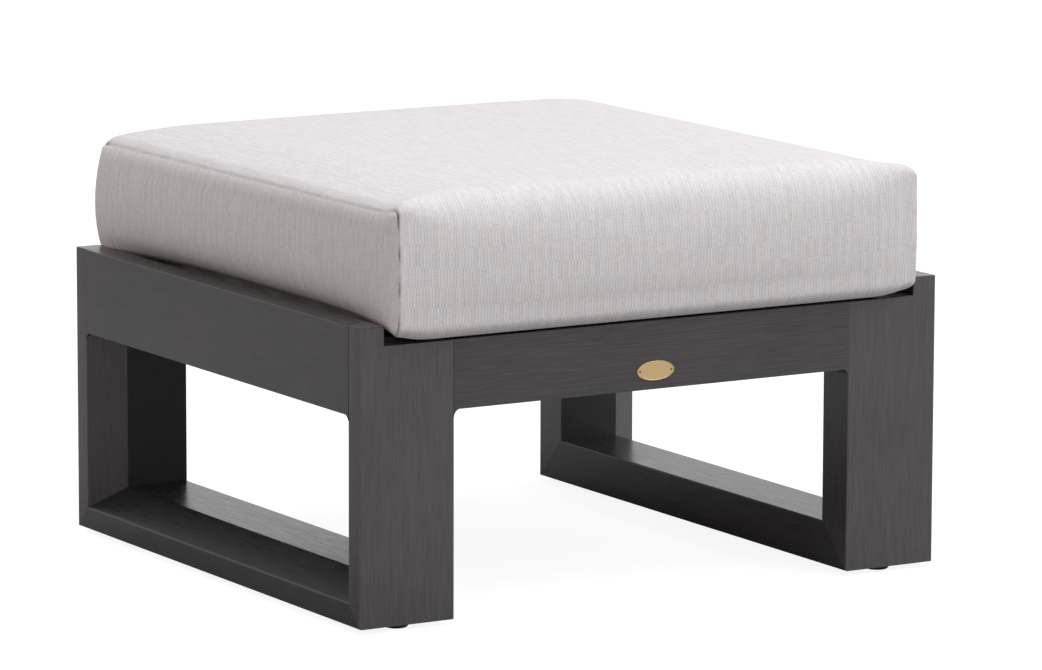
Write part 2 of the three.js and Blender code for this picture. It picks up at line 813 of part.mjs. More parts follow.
slatPlaces.forEach((y, i) => add(`seat_slat_${i + 1}`, slatTube, finishes.deck, 0, y));

const plateFront = -halfDepth - plateThickness;
add('oval_plate', ovalPlate(), finishes.brass, 0, -halfDepth, openingTop + plateRise);
for (const [side, sx] of sides) {
  add(
    `plate_pin_${side}`, platePin(), finishes.brass,
    -sx * pinReach, plateFront, openingTop + plateRise);
}

const cushionBase = apronTop + restGap;
const cushionPieces = [
  ['cushion_wrap', wrapPanel(), finishes.fabric],
  ['cushion_right_panel', rightPanel(), finishes.fabric],
  ['cushion_left_panel', mirrored(rightPanel(), -1, 1), finishes.fabric],
  ['cushion_foam', foamCore(), finishes.foam],
  ['zip_tape', zipTape(), finishes.zip],
  ['zip_slider', zipSlider(), finishes.steel],
];
for (const [name, geometry, finish] of cushionPieces) {
  add(name, geometry, finish, 0, -cushionForward, cushionBase);
}
add('zip_pull', zipPull(), finishes.steel,
  sliderRest, bailAxis - cushionForward, cushionBase + zipHeight);

// The origin goes under the middle of the whole stool.
const whole = new THREE.Box3().setFromObject(stool);
stool.position.y = -(whole.min.y + whole.max.y) / 2;

export default stool;
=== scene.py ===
import json
import math

import bmesh
import bpy
from mathutils import Matrix, Vector


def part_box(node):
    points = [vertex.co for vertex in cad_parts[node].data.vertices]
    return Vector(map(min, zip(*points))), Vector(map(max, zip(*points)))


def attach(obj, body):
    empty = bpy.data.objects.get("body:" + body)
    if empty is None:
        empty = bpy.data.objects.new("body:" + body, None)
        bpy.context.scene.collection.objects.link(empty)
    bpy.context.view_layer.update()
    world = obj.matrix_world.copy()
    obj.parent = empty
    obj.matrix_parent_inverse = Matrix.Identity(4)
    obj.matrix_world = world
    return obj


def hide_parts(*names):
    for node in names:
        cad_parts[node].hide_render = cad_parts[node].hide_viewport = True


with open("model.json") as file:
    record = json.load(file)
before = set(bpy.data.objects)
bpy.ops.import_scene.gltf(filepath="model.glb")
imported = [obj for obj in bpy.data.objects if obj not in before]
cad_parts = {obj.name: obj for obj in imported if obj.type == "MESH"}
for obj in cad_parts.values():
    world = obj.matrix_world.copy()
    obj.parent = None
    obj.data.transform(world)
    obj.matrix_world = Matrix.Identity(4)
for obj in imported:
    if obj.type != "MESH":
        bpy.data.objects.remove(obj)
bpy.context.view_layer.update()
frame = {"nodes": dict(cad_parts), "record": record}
node_slot = {part["node"]: part["material_slot"] for part in frame["record"]["subparts"]}

MM = 0.001

# The camera, on a long lens from the front left and a little above
CAMERA_PLACE = Vector((-3.4127, -5.7631, 1.3591))
CAMERA_LOOK = Vector((0.50523, 0.84705, -0.16506))
CAMERA_RIGHT = Vector((0.85907, -0.51185, 0.00283))
CAMERA_SENSOR = 36.0
CAMERA_FOCAL_PIXELS = 6215.75
PHOTO_WIDTH = 1042

# Light: a room that is brighter overhead than at the horizon, and a wide soft lamp
ROOM_LOW = 0.5
ROOM_HIGH = 0.95
LAMP_PLACE = Vector((2.3, -2.3, 3.9))
LAMP_SIZE = 3.4
LAMP_POWER = 122
LAMP_AIM = Vector((0, 0, 0.3))
FLOOR_HALF_SIZE = 9.0
FLOOR_GLOW = 0.9  # lifts the floor to white and leaves the shadow on it

# Cushion, in metres, from its own middle and its underside
panel_low, panel_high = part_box("cushion_right_panel")
CUSHION_MIDDLE_Y = (panel_low.y + panel_high.y) / 2
CUSHION_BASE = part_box("cushion_wrap")[0].z
HALF_WIDTH = 324 * MM
HALF_DEPTH = (panel_high.y - panel_low.y) / 2
SIDE_HEIGHT = 132 * MM
WRAP_TURN = 3 * MM  # the wrap panel turns to the side seam at this radius
PANEL_TURN = 18 * MM  # and the side panel turns away from it at this one
SEAM_ANGLE = 45  # of the whole turn, where the seam lies
WRAP_ANGLES = [0, 18, 34, 45]
PANEL_ANGLES = [50, 57, 67, 78, 90]
EDGE_RISE = 6 * MM  # the wrap panel climbs steeply beside each side seam
EDGE_RISE_WIDTH = 12 * MM
TOP_RISE = 10.5 * MM  # and then slowly
TOP_RISE_WIDTH = 85 * MM
TOP_CROWN = 3 * MM
FRONT_BULGE = 3 * MM
BACK_BULGE = 5.2 * MM  # it clears the zip's tape
TOP_RADIUS = 30 * MM  # over the front and back, reached this far from each side seam
TOP_RADIUS_WIDTH = 60 * MM
BASE_RADIUS = 15 * MM
SEAM_RADIUS_FRONT = 5 * MM
SEAM_RADIUS_BACK = 5 * MM
SMALLEST_RADIUS = 1 * MM
LEFT_TILT_FRONT = 3 * MM  # the left seam climbs a little towards the front
LEFT_TILT_BACK = 0.5 * MM
FRONT_EAR = 5 * MM  # the front corners stand up a little
EAR_REACH = 25 * MM
BOW_FRONT = -0.5 * MM  # how far the side bows out at half height, at each end of the side panel
BOW_BACK = 9 * MM
BOW_REACH = 60 * MM  # the bow fades over this much of the wrap panel
BOW_EDGE = 4 * MM
SIDE_DRAW = 28 * MM  # the side rolls under towards its lower edge, which leaves a gap at the rail
SIDE_DRAW_HEIGHT = 55 * MM
FRONT_LIFT = 3 * MM  # the lower front edge stands clear of the apron
CORNER_LIFT = 7 * MM  # and more so at its two ends
CORNER_LIFT_WIDTH = 60 * MM
SIDE_LIFT = 14 * MM  # the side's lower edge is lifted this far between its ends
FRONT_END_LIFT = 7 * MM
BACK_END_LIFT = 4 * MM
SIDE_LIFT_HEIGHT = 70 * MM
LIFT_DEPTH = 45 * MM
LIFT_HEIGHT = 40 * MM
GRID_STEP = 6.5 * MM
CORNER_STEPS = 8
LONG_STEPS = round(2 * (HALF_DEPTH - TOP_RADIUS) / GRID_STEP)
SHORT_STEPS = round((SIDE_HEIGHT - TOP_RADIUS - BASE_RADIUS) / GRID_STEP)

# Cloth simulation of the stuffed cover
STUFFING_PRESSURE = 4
STUFFING_FRAMES = 20
STUFFING_REACH = 3.5 * MM  # no point moves further than this
HELD_REACH = 20 * MM  # the seams hold the cloth beside them
HELD_BASE = 35 * MM  # and so do the deck, up to this height, and the zip
HELD_BACK = 10 * MM
HELD_ZIP_HEIGHT = 25 * MM
HELD_ZIP_END = 20 * MM

# The zip's slot in the back of the cover
SLOT_HALF_LENGTH = 250 * MM
SLOT_LOW = 57 * MM
SLOT_HIGH = 67 * MM
SLOT_LIP = [0.6 * MM, 2.4 * MM]  # its edges turn in, in two steps
SLOT_SLACK = 1 * MM

# Zip tape: its coil has two rows of teeth, drawn half as many as a real one so that they show
TAPE_THICKNESS = 0.8 * MM
TAPE_EDGE_WIDTH = 0.3 * MM  # its long edges are thinned, this far in and this far down
TAPE_EDGE_DEPTH = 0.2 * MM
COIL_END = 6 * MM
TOOTH_STEP = 1.3 * MM
TOOTH_HEIGHT = 1.8 * MM
TOOTH_PLACE = 0.95 * MM
TOOTH_HALF_LENGTH = 1.5 * MM
TOOTH_HALF_WIDTH = 0.46  # of a step, so that the teeth stay apart

# Welds of the frame: the solids stand this far apart, and the bars' slope there is 24 in 38
WELD_GAP = 0.3 * MM
MITRE_GROWTH = WELD_GAP * math.sqrt(0.5)
SLANT_GROWTH = WELD_GAP * math.hypot(1, 24 / 38)
EDGE_EASE = 0.8 * MM
EASED_ANGLE = 60  # degrees: only edges that turn by more are eased, so the bevels stay crisp
SHARP_ANGLE = 28
FLAT_ANGLE = 1
PLAIN_FACE, EASED_FACE, PAINTED_SHADE_FACE, PAINTED_DARKEST_FACE = range(4)  # a bar's finishes, in their order; the last two are painted shade
MERGE_GAP = 0.005 * MM
APRON_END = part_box("front_apron")[1].x  # the posts' edges stay sharp where the aprons are welded on
APRON_END_REACH = 1 * MM

# Rim of the oval plate: how far in from its edge, and how far out from its face
RIM_SECTION = [
    (0.1 * MM, -0.3 * MM), (0.2 * MM, 0.25 * MM), (0.5 * MM, 0.4 * MM), (0.8 * MM, 0.4 * MM),
    (1.1 * MM, 0.25 * MM), (1.3 * MM, -0.3 * MM)]
RIM_STEPS = 64

# Side seams of the cover, and the small folds beside them
GROOVE_DEPTH = 2.0 * MM
GROOVE_WIDTH = 1.1 * MM
GROOVE_SHARES = (0.02, 0.06, 0.92)  # of the depth: on any seam, on an upright one, where it gapes
PAINTED_GAP_SHADE = 0.6  # how much painted shade darkens the cloth in the gap of a seam
RIDGE_HEIGHT = 0.3 * MM  # the seam's turned-in edges lift the cloth beside it
RIDGE_PLACE = 4 * MM
RIDGE_LEVEL = 0.2  # of its height is left where the seam runs level
STITCH_PULL = 38 * MM  # a seam that runs upright gapes once in this way, at uneven places
STITCH_START = 2.9
STITCH_WANDER = 50 * MM
UPRIGHT_REACH = 20 * MM
CORNER_GROOVE = 1.6 * MM
CORNER_GROOVE_REACH = 15 * MM
PUCKER_HEIGHT = 0.2 * MM
PUCKER_PITCH = 13 * MM
PUCKER_REACH = 9 * MM
PUCKER_WANDER = 23 * MM
PUCKER_LEVEL = 0.15
FOAM_INSET = 6 * MM

# Weave of the cover: ribs and rows are as wide as the photograph shows
RIB_PITCH = 3.78 * MM
ROW_HEIGHT = 19.7 * MM
PICK_PITCH = 1.3 * MM
WANDER_SIZE = (14 * MM, 60 * MM)  # these four are sizes across the ribs and along them
SLUB_SIZE = (1.6 * MM, 9 * MM)
DASH_SIZE = (8 * MM, 1.5 * MM)
DYE_SIZE = (22 * MM, 30 * MM)
RIB_FADE = (3 * MM, 14 * MM)  # from a side seam: where the ribs begin, and where they are full
WEAVE_DEPTH = 0.5 * MM


def srgb(code):
    """A hex colour as linear red, green, blue and an alpha of 1."""
    channels = [int(code[i:i + 2], 16) / 255 for i in (1, 3, 5)]
    return [c / 12.92 if c <= 0.04045 else ((c + 0.055) / 1.055) ** 2.4 for c in channels] + [1]


def add_node(tree, kind, inputs=(), **settings):
    """Adds a node. inputs maps each socket's name or number to a value or to another socket."""
    made = tree.nodes.new(kind)
    for name, value in settings.items():
        setattr(made, name, value)
    for socket, value in dict(inputs).items():
        if isinstance(value, bpy.types.NodeSocket):
            tree.links.new(value, made.inputs[socket])
        else:
            made.inputs[socket].default_value = value
    return made


def new_material(name):
    """A material with an empty tree, and its surface output."""
    material = bpy.data.materials.new(name)
    material.use_nodes = True
    material.node_tree.nodes.clear()
    return material, material.node_tree, add_node(material.node_tree, "ShaderNodeOutputMaterial")


def brushed_aluminium(name, along, light="#4c494a", dark="#3f3c3d", roughness=0.27):
    """Brushed aluminium under a thin charcoal coat: fine streaks one way, and a soft grey gloss.

    Real brush lines are too fine to show, so the streaks are drawn 1.3 mm wide.
    """
    material, tree, output = new_material(name)
    streak_length, streak_width = 34 * MM, 1.3 * MM
    scale = [1 / streak_length if axis == along else 1 / streak_width for axis in "xyz"]
    place = add_node(tree, "ShaderNodeTexCoord").outputs["Object"]
    stretched = add_node(
        tree, "ShaderNodeVectorMath", {0: place, 1: scale}, operation="MULTIPLY").outputs[0]
    streaks = add_node(
        tree, "ShaderNodeTexNoise", {"Vector": stretched, "Scale": 1.0, "Detail": 2.0}).outputs[0]
    cloud_size = 90 * MM
    clouds = add_node(
        tree, "ShaderNodeTexNoise",
        {"Vector": place, "Scale": 1 / cloud_size, "Detail": 1.0}).outputs[0]
    mixed = add_node(
        tree, "ShaderNodeMix", {0: 0.25, 2: streaks, 3: clouds}, data_type="FLOAT").outputs[0]
    ramp = add_node(
        tree, "ShaderNodeMapRange",
        {"Value": mixed, "From Min": 0.36, "From Max": 0.64}).outputs[0]
    colour = add_node(
        tree, "ShaderNodeMix",
        {0: ramp, 6: srgb(dark), 7: srgb(light)}, data_type="RGBA").outputs[2]
    gloss = add_node(
        tree, "ShaderNodeMapRange",
        {"Value": streaks, "From Min": 0.3, "From Max": 0.7,
         "To Min": roughness - 0.05, "To Max": roughness + 0.05}).outputs[0]
    bump = add_node(
        tree, "ShaderNodeBump",
        {"Height": streaks, "Strength": 0.15, "Distance": 0.05 * MM}).outputs[0]
    surface = add_node(
        tree, "ShaderNodeBsdfPrincipled",
        {"Base Color": colour, "Metallic": 0.4, "Roughness": gloss, "Normal": bump}).outputs[0]
    tree.links.new(surface, output.inputs[0])
    return material


def plain_metal(name, code, roughness, grain_size=0.6 * MM, grain_depth=0.02 * MM):
    """Drawn or pressed metal: an even sheen, broken up by a fine grain that is drawn coarse."""
    material, tree, output = new_material(name)
    place = add_node(tree, "ShaderNodeTexCoord").outputs["Object"]
    grain = add_node(
        tree, "ShaderNodeTexNoise",
        {"Vector": place, "Scale": 1 / grain_size, "Detail": 2.0}).outputs[0]
    gloss = add_node(
        tree, "ShaderNodeMapRange",
        {"Value": grain, "To Min": roughness - 0.06, "To Max": roughness + 0.06}).outputs[0]
    bump = add_node(
        tree, "ShaderNodeBump",
        {"Height": grain, "Strength": 0.3, "Distance": grain_depth}).outputs[0]
    surface = add_node(
        tree, "ShaderNodeBsdfPrincipled",
        {"Base Color": srgb(code), "Metallic": 1.0, "Roughness": gloss, "Normal": bump}).outputs[0]
    tree.links.new(surface, output.inputs[0])
    return material


def moulded_nylon(name, code):
    """Nylon from a lightly textured mould: dull, with a faint grain that is drawn coarse."""
    material, tree, output = new_material(name)
    place = add_node(tree, "ShaderNodeTexCoord").outputs["Object"]
    grain_size = 0.5 * MM
    grain = add_node(
        tree, "ShaderNodeTexNoise",
        {"Vector": place, "Scale": 1 / grain_size, "Detail": 2.0}).outputs[0]
    bump = add_node(
        tree, "ShaderNodeBump",
        {"Height": grain, "Strength": 0.4, "Distance": 0.05 * MM}).outputs[0]
    surface = add_node(
        tree, "ShaderNodeBsdfPrincipled",
        {"Base Color": srgb(code), "Roughness": 0.55, "IOR": 1.53, "Normal": bump}).outputs[0]
    tree.links.new(surface, output.inputs[0])
    return material


def woven_acrylic(name, thread="#efedee", gap="#d7d3d4"):
    """Solution-dyed acrylic in a rib weave: fine ribs in rows, each row set half a rib across.

    The ribs stand up, so they show where light rakes them, and fade on the top and beside the side
    seams, where the cloth is pulled flat. Thick places in the yarn and a slight change of dye from
    yarn to yarn break the pattern up. The picks and thick places are drawn coarser than real ones,
    so that they show. The weave follows a map in metres: u runs across the ribs, v along them.
    """
    material, tree, output = new_material(name)
    weave = add_node(tree, "ShaderNodeUVMap", uv_map="weave").outputs[0]
    split = add_node(tree, "ShaderNodeSeparateXYZ", {0: weave})
    across, up = split.outputs[0], split.outputs[1]

    def maths(operation, *values):
        return add_node(
            tree, "ShaderNodeMath", dict(enumerate(values)), operation=operation).outputs[0]

    def cloud(size, detail=2.0):
        scaled = add_node(
            tree, "ShaderNodeVectorMath", {0: weave, 1: [1 / size[0], 1 / size[1], 1]},
            operation="MULTIPLY").outputs[0]
        return add_node(
            tree, "ShaderNodeTexNoise",
            {"Vector": scaled, "Scale": 1.0, "Detail": detail}).outputs[0]

    wander = maths("SUBTRACT", cloud(WANDER_SIZE, 1.0), 0.5)
    row_place = maths("MULTIPLY_ADD", wander, 0.2, maths("MULTIPLY", up, 1 / ROW_HEIGHT))
    row = maths("FLOOR", row_place)
    shift = maths("MULTIPLY", maths("MODULO", row, 2.0), 0.5)
    rib_place = maths("ADD", maths("MULTIPLY", across, 1 / RIB_PITCH), shift)
    rib_bent = maths("MULTIPLY_ADD", wander, 0.4, rib_place)

    def wave(place, period):
        turned = maths("MULTIPLY", place, 2 * math.pi / period)
        return maths("MULTIPLY_ADD", maths("SINE", turned), 0.5, 0.5)

    seam_way = add_node(tree, "ShaderNodeAttribute", attribute_name="seam_way").outputs["Fac"]
    off_seam = add_node(
        tree, "ShaderNodeMapRange",
        {"Value": maths("ABSOLUTE", seam_way), "From Min": RIB_FADE[0], "From Max": RIB_FADE[1],
         "To Min": 0.15, "To Max": 1.0}).outputs[0]
    rib = maths("MULTIPLY_ADD", maths("SUBTRACT", wave(rib_bent, 1.0), 0.5), off_seam, 0.5)
    third = wave(rib_place, 3.0)
    pick = wave(up, PICK_PITCH)
    cell = add_node(
        tree, "ShaderNodeCombineXYZ", {0: maths("FLOOR", rib_bent), 1: row}).outputs[0]
    tone = add_node(
        tree, "ShaderNodeTexWhiteNoise", {"Vector": cell}, noise_dimensions="2D").outputs[0]
    slubs = cloud(SLUB_SIZE)
    dashes = add_node(
        tree, "ShaderNodeMapRange",
        {"Value": cloud(DASH_SIZE), "From Min": 0.55, "From Max": 0.72}).outputs[0]
    lightness = maths("MULTIPLY", rib, 0.34)
    for part, weight in ((third, 0.10), (pick, 0.05), (tone, 0.20), (slubs, 0.55), (dashes, -0.42)):
        lightness = maths("MULTIPLY_ADD", part, weight, lightness)
    share = add_node(
        tree, "ShaderNodeMapRange",
        {"Value": lightness, "From Min": 0.18, "From Max": 0.86}).outputs[0]
    plain = add_node(
        tree, "ShaderNodeMix",
        {0: share, 6: srgb(gap), 7: srgb(thread)}, data_type="RGBA").outputs[2]
    dye = add_node(
        tree, "ShaderNodeMapRange",
        {"Value": cloud(DYE_SIZE, 1.0), "From Min": 0.35, "From Max": 0.65}).outputs[0]
    tint = add_node(
        tree, "ShaderNodeMix",
        {0: dye, 6: srgb("#fffefd"), 7: srgb("#fdfdfe")}, data_type="RGBA").outputs[2]
    dyed = add_node(
        tree, "ShaderNodeMix",
        {0: 1.0, 6: plain, 7: tint}, data_type="RGBA", blend_type="MULTIPLY").outputs[2]
    # Painted shade in the gap of each side seam, as deep as the seam gapes
    painted_seam_shade = add_node(tree, "ShaderNodeAttribute", attribute_name="painted_seam_shade").outputs["Fac"]
    colour = add_node(
        tree, "ShaderNodeMix",
        {0: painted_seam_shade, 6: dyed, 7: srgb("#6e6664")}, data_type="RGBA").outputs[2]
    height = maths("MULTIPLY", rib, 0.6)
    for part, weight in ((pick, 0.15), (slubs, 0.5), (dashes, -0.3)):
        height = maths("MULTIPLY_ADD", part, weight, height)
    bump = add_node(
        tree, "ShaderNodeBump",
        {"Height": height, "Strength": 0.6, "Distance": WEAVE_DEPTH}).outputs[0]
    surface = add_node(
        tree, "ShaderNodeBsdfPrincipled",
        {"Base Color": colour, "Roughness": 0.9, "IOR": 1.45, "Specular IOR Level": 0.25,
         "Sheen Weight": 0.12, "Sheen Roughness": 0.5, "Normal": bump}).outputs[0]
    tree.links.new(surface, output.inputs[0])
    return material


def open_cell_foam():
    """Pale polyurethane foam: a fine mat of open cells, drawn 2 mm across."""
    material, tree, output = new_material("open_cell_foam")
    place = add_node(tree, "ShaderNodeTexCoord").outputs["Object"]
    cell_size = 2 * MM
    cells = add_node(
        tree, "ShaderNodeTexVoronoi", {"Vector": place, "Scale": 1 / cell_size}).outputs[0]
    colour = add_node(
        tree, "ShaderNodeMix", {0: cells, 6: srgb("#cfc6b2"), 7: srgb("#f0ead9")},
        data_type="RGBA").outputs[2]
    surface = add_node(
        tree, "ShaderNodeBsdfPrincipled", {"Base Color": colour, "Roughness": 1.0}).outputs[0]
    tree.links.new(surface, output.inputs[0])
    return material


def woven_tape():
    """Polyester zip tape in a fine herringbone: it shows as bands, drawn coarser than real ones."""
    material, tree, output = new_material("woven_zip_tape")
    place = add_node(tree, "ShaderNodeTexCoord").outputs["Object"]
    band_size = 4 * MM
    threads = add_node(
        tree, "ShaderNodeTexWave", {"Vector": place, "Scale": 1 / band_size, "Distortion": 0.5},
        bands_direction="X").outputs[1]
    colour = add_node(
        tree, "ShaderNodeMix", {0: threads, 6: srgb("#a59e98"), 7: srgb("#c6c0ba")},
        data_type="RGBA").outputs[2]
    bump = add_node(
        tree, "ShaderNodeBump",
        {"Height": threads, "Strength": 0.5, "Distance": 0.3 * MM}).outputs[0]
    surface = add_node(
        tree, "ShaderNodeBsdfPrincipled",
        {"Base Color": colour, "Roughness": 0.7, "Normal": bump}).outputs[0]
    tree.links.new(surface, output.inputs[0])
    return material


# Brushed aluminium in a charcoal coat. One real coat, drawn in a few tones, since the photograph
# shows far more shade between the faces than an even light gives. The posts are the lightest.
# Posts: painted light, a lighter tone of the one coat
finish_upright_painted_light = brushed_aluminium(
    "charcoal_aluminium_brushed_upright_painted_light", "z", light="#575455", dark="#4c494a")
# Aprons: a middle tone, streaked from side to side
finish_across = brushed_aluminium("charcoal_aluminium_brushed_across", "x")
# Rails, streaked from front to back, in a darker tone of painted shade
finish_back_painted_shade = brushed_aluminium(
    "charcoal_aluminium_brushed_back_painted_shade", "y", light="#3c3939", dark="#302e2e")
# Posts' sides and bevels: painted shade
finish_side_painted_shade = brushed_aluminium(
    "charcoal_aluminium_brushed_side_painted_shade", "z", light="#413e3e", dark="#353333")
# Posts' faces into the loops: painted shade, nearly black, and dull
finish_inside_painted_shade = brushed_aluminium(
    "charcoal_aluminium_brushed_inside_painted_shade", "z", light="#2a2828", dark="#1e1c1c", roughness=0.45)
# Sides of the low rails: painted shade, nearly black, with streaks that show well
finish_low_painted_shade = brushed_aluminium(
    "charcoal_aluminium_brushed_low_painted_shade", "y", light="#2d2b2b", dark="#1c1a1a", roughness=0.32)
# Eased edges: one tone of painted shade for all the bars, duller than the faces beside them
finish_edge_painted_shade = brushed_aluminium(
    "charcoal_aluminium_eased_edge_painted_shade", "z", light="#3a3737", dark="#312f2f", roughness=0.5)
# Extruded aluminium under a powder coat: dark and dull
finish_deck = plain_metal("coated_deck_aluminium", "#3c3a3a", 0.55, grain_depth=0.05 * MM)
# Drawn and pressed stainless steel: pale grey, with a soft sheen
finish_steel = plain_metal("plain_stainless_steel", "#b4b6b8", 0.35)
# Pressed brass, satin: a warm soft glow. Its pins are the same brass, drawn darker.
finish_brass = plain_metal("satin_brass", "#c3a97c", 0.38)
finish_pin = plain_metal("darkened_brass", "#7e6a4a", 0.45)
# Moulded nylon: black and dull on the glides, grey on the zip's teeth
finish_nylon = moulded_nylon("moulded_black_nylon", "#161617")
finish_coil = moulded_nylon("moulded_grey_nylon", "#a8a19b")
finish_cover = woven_acrylic("woven_outdoor_acrylic")
finish_foam = open_cell_foam()
finish_tape = woven_tape()


def new_piece(form, name, finishes):
    """Makes an object of a form, which is used up, and links it to the scene."""
    mesh = bpy.data.meshes.new(name)
    form.to_mesh(mesh)
    form.free()
    for finish in finishes:
        mesh.materials.append(finish)
    piece = bpy.data.objects.new(name, mesh)
    bpy.context.scene.collection.objects.link(piece)
    return piece


def turn_out(form):
    """Turns every face outward and shades it smooth."""
    bmesh.ops.recalc_face_normals(form, faces=form.faces)
    for face in form.faces:
        face.smooth = True


def eased_copy(node, finishes, axis, low_growth, high_growth, at_weld, finish_at=None):
    """A copy of a welded bar with its outer edges eased and its ends grown to close the weld's gap.

    at_weld tells from a face's normal whether it lies against the next bar: its edges stay sharp.
    finish_at gives the number of a face's finish from its normal, which is how painted shade goes on
    a bar's faces.
    """
    form = bmesh.new()
    form.from_mesh(frame["nodes"][node].data)
    bmesh.ops.remove_doubles(form, verts=form.verts, dist=MERGE_GAP)
    bmesh.ops.dissolve_limit(
        form, angle_limit=math.radians(FLAT_ANGLE), verts=form.verts, edges=form.edges)
    low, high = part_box(node)
    for vert in form.verts:
        share = (vert.co[axis] - low[axis]) / (high[axis] - low[axis])
        vert.co[axis] += high_growth * share - low_growth * (1 - share)
    form.normal_update()
    sharp = [
        edge for edge in form.edges
        if edge.is_manifold and edge.calc_face_angle_signed() > math.radians(EASED_ANGLE)
        and not any(at_weld(face.normal) for face in edge.link_faces)
        and not all(abs(abs(vert.co.x) - APRON_END) < APRON_END_REACH for vert in edge.verts)]
    bmesh.ops.bevel(
        form, geom=sharp, offset=EDGE_EASE, offset_type="OFFSET", segments=3, profile=0.5,
        affect="EDGES", clamp_overlap=True, material=EASED_FACE)
    for face in form.faces:
        face.smooth = True
        if finish_at and face.material_index == PLAIN_FACE:
            face.material_index = finish_at(face.normal)
    piece = new_piece(form, f"{node}_eased", finishes)
    piece.data.set_sharp_from_angle(angle=math.radians(SHARP_ANGLE))
    weighted = piece.modifiers.new("even_shading", "WEIGHTED_NORMAL")
    weighted.keep_sharp = True
    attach(piece, "frame")
    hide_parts(node)


def dress_frame():
    """The welded bars keep their solids' shape, with eased edges, streaks along each bar, and painted
    light and shade by face.
    """
    def mitred(normal):
        return abs(normal.y) > 0.5 and abs(normal.z) > 0.5

    def slanted(normal):
        return abs(normal.x) > 0.3 and abs(normal.y) > 0.3

    def square_end(normal):
        return abs(normal.x) > 0.99

    def post_finish(into_loop):
        """Painted shade by face: the post's flat face into the loop is painted darkest, then its
        bevel and its two sides.
        """
        def number(normal):
            if normal.y * into_loop > 0.95:
                return PAINTED_DARKEST_FACE
            shaded = normal.y * into_loop > 0.5 or abs(normal.x) > 0.99
            return PAINTED_SHADE_FACE if shaded else PLAIN_FACE
        return number

    # The low rails' sides take painted shade
    def rail_finish(normal):
        return PAINTED_SHADE_FACE if abs(normal.x) > 0.4 else PLAIN_FACE

    for side in ("left", "right"):
        for end, into_loop in (("front", 1), ("back", -1)):
            eased_copy(
                f"{side}_{end}_post", [finish_upright_painted_light, finish_edge_painted_shade, finish_side_painted_shade, finish_inside_painted_shade],
                2, MITRE_GROWTH, 0.0, mitred, post_finish(into_loop))
        eased_copy(
            f"{side}_bottom_rail", [finish_back_painted_shade, finish_edge_painted_shade, finish_low_painted_shade],
            1, MITRE_GROWTH, MITRE_GROWTH, mitred, rail_finish)
        eased_copy(
            f"{side}_side_rail", [finish_back_painted_shade, finish_edge_painted_shade], 1, SLANT_GROWTH, SLANT_GROWTH, slanted)
    for end in ("front", "back"):
        eased_copy(
            f"{end}_apron", [finish_across, finish_edge_painted_shade], 0, 2 * WELD_GAP, 2 * WELD_GAP, square_end)


def dress_plain_nodes():
    """Deck, screws, nuts and glides keep their own solids."""
    finishes = {
        "coated_deck_aluminium": finish_deck,
        "black_nylon": finish_nylon,
        "stainless_steel": finish_steel,
        "oval_plate_brass": finish_brass,
    }
    for node, slot in node_slot.items():
        if slot in finishes:
            mesh = frame["nodes"][node].data
            mesh.materials.clear()
            mesh.materials.append(finish_pin if "pin" in node else finishes[slot])


def plate_rim():
    """The pressed rim that stands up round the oval plate."""
    low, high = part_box("oval_plate")
    middle = (low + high) / 2
    half_wide, half_high = (high.x - low.x) / 2, (high.z - low.z) / 2
    form = bmesh.new()
    rings = []
    for inset, height in RIM_SECTION:
        ring = []
        for k in range(RIM_STEPS):
            angle = 2 * math.pi * k / RIM_STEPS
            ring.append(form.verts.new((
                middle.x + (half_wide - inset) * math.cos(angle),
                low.y - height,
                middle.z + (half_high - inset) * math.sin(angle))))
        rings.append(ring)
    for near, distant in zip(rings, rings[1:] + rings[:1]):
        for k in range(RIM_STEPS):
            far = (k + 1) % RIM_STEPS
            form.faces.new((near[k], near[far], distant[far], distant[k]))
    turn_out(form)
    rim = new_piece(form, "plate_rim", [finish_brass])
    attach(rim, "frame")


def zip_tape():
    """The zip's woven tape, and the two rows of its coil's teeth, which mesh along the middle."""
    low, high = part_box("zip_tape")
    middle = (low.z + high.z) / 2
    half_high = (high.z - low.z) / 2
    face = low.y + TAPE_THICKNESS
    form = bmesh.new()
    one_edge = [
        (TAPE_EDGE_WIDTH, 0.0), (0.0, TAPE_EDGE_DEPTH),
        (0.0, TAPE_THICKNESS - TAPE_EDGE_DEPTH), (TAPE_EDGE_WIDTH, TAPE_THICKNESS)]
    section = [(-1, *point) for point in one_edge] + [(1, *point) for point in reversed(one_edge)]
    ends = []
    for x in (low.x, high.x):
        ends.append([
            form.verts.new((x, low.y + depth, middle + way * (half_high - inset)))
            for way, inset, depth in section])
    for k in range(len(section)):
        far = (k + 1) % len(section)
        form.faces.new((ends[0][k], ends[0][far], ends[1][far], ends[1][k]))
    form.faces.new(ends[0])
    form.faces.new(ends[1])
    bmesh.ops.recalc_face_normals(form, faces=form.faces)
    reach = high.x - COIL_END
    count = round(2 * reach / TOOTH_STEP)
    ball = bmesh.new()
    bmesh.ops.create_uvsphere(ball, u_segments=8, v_segments=6, radius=1.0)
    for k in range(count):
        side = 1 if k % 2 else -1
        tooth = []
        for vert in ball.verts:
            depth = TOOTH_HEIGHT if vert.co.y > 0 else TAPE_THICKNESS / 2
            tooth.append(form.verts.new((
                -reach + (k + 0.5 + vert.co.x * TOOTH_HALF_WIDTH) * TOOTH_STEP,
                face + vert.co.y * depth,
                middle + side * TOOTH_PLACE + vert.co.z * TOOTH_HALF_LENGTH)))
        for ball_face in ball.faces:
            made = form.faces.new([tooth[vert.index] for vert in ball_face.verts])
            made.smooth = True
            made.material_index = 1
    ball.free()
    tape = new_piece(form, "zip_tape_and_coil", [finish_tape, finish_coil])
    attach(tape, "cushion")
    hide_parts("zip_tape")


def smooth_step(low, high, value):
    """Eases from 0 to 1 as the value goes from low to high."""
    part = min(1.0, max(0.0, (value - low) / (high - low)))
    return part * part * (3 - 2 * part)


